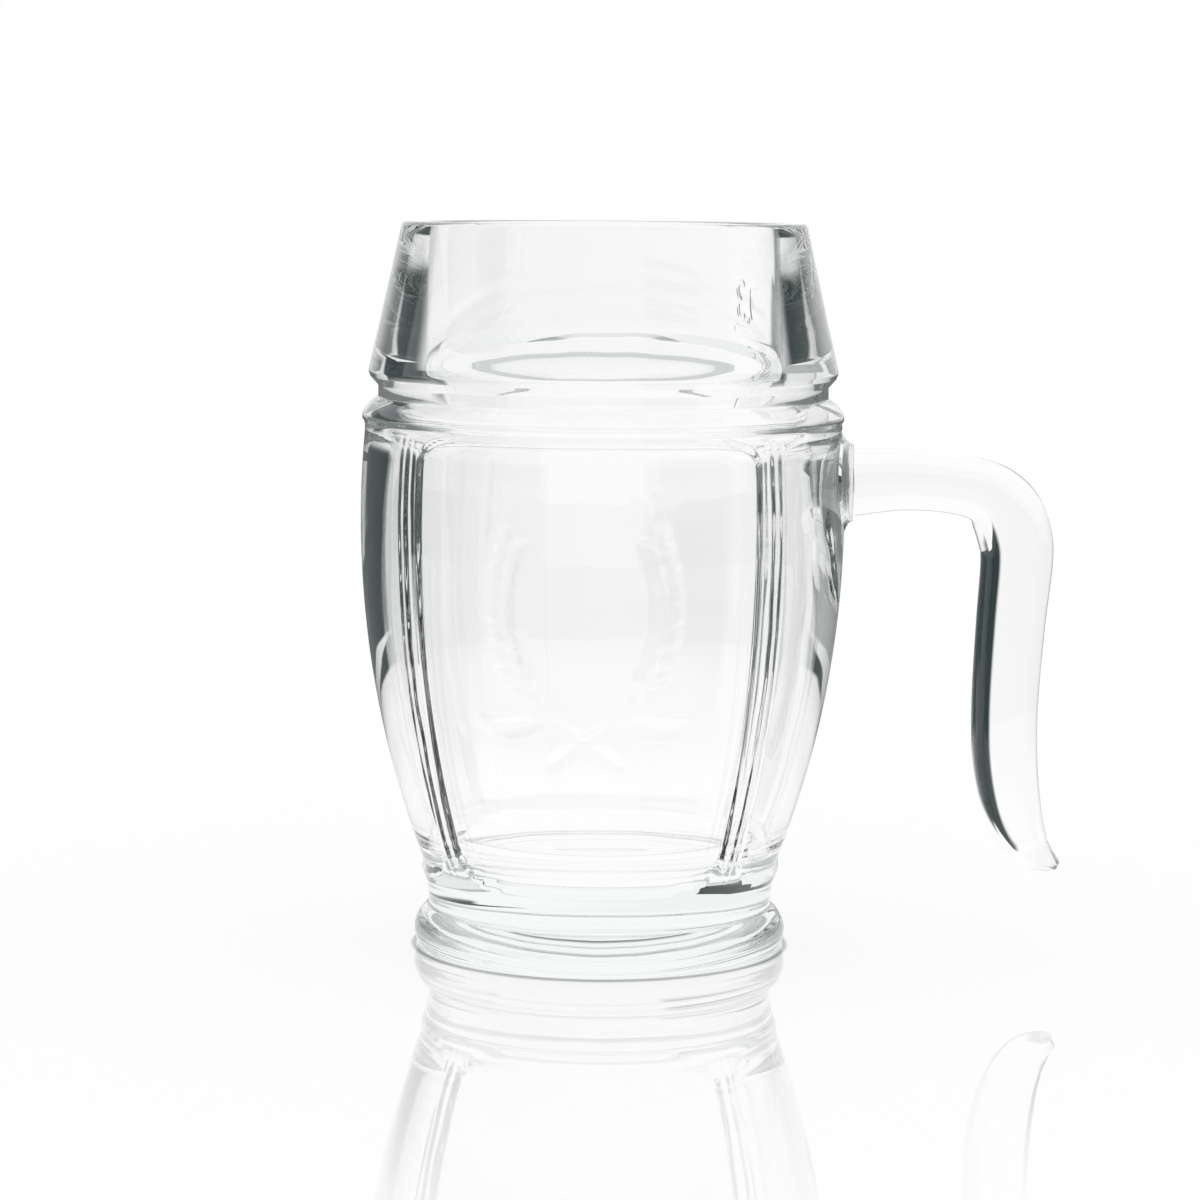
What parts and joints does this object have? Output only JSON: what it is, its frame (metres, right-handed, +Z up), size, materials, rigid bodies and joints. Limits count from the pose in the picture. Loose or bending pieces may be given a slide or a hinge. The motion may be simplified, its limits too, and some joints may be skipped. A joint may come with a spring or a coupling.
{
  "type": "beer mug",
  "caption": "Clear moulded-glass beer mug: flared collar, grooved neck, barrel with sunk windows between ribs, ring foot and an open hook handle welded on at one side.",
  "frame": {"origin": "barrel axis at the plane of the table that the foot ring stands on", "axes": "+Z up along the barrel axis, +X towards the handle, -Y towards the front window"},
  "size_m": [0.1172, 0.0806, 0.121],
  "materials": {
    "pressed_glass": "fire-polished clear glass, faint grey-green in thick edges",
    "handle_glass": "fire-polished clear glass, smooth bar",
    "weld_glass": "clear glass, slightly wavy where it was hot-joined"
  },
  "bodies": {
    "root": {"mug_body": "pressed_glass", "handle": "handle_glass", "handle_weld": "weld_glass"}
  },
  "joints": []
}
